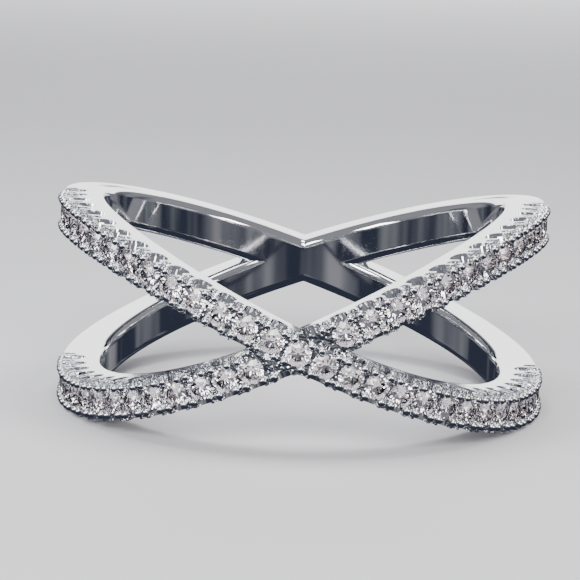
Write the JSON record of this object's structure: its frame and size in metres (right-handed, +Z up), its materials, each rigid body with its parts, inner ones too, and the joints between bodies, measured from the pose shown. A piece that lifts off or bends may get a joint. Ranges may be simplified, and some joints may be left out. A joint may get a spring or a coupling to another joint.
{
  "type": "crossover ring",
  "caption": "Finger ring whose two bands cross in front and behind and part at the sides, with a row of small round brilliant stones along the front half of each band.",
  "frame": {"origin": "middle of the ring's footprint, on the surface that the ring lies on", "axes": "+Z up, along the axis of the finger hole; -Y towards the front crossing; +X to the right, seen from the front"},
  "size_m": [0.0212, 0.021, 0.009],
  "materials": {
    "polished_silver": "925 silver, rhodium plated and mirror polished",
    "white_brilliant": "clear round brilliant stones, polished facets"
  },
  "bodies": {
    "root": {"ring_body": "polished_silver", "stones_falling": "white_brilliant", "stones_rising": "white_brilliant"}
  },
  "joints": []
}
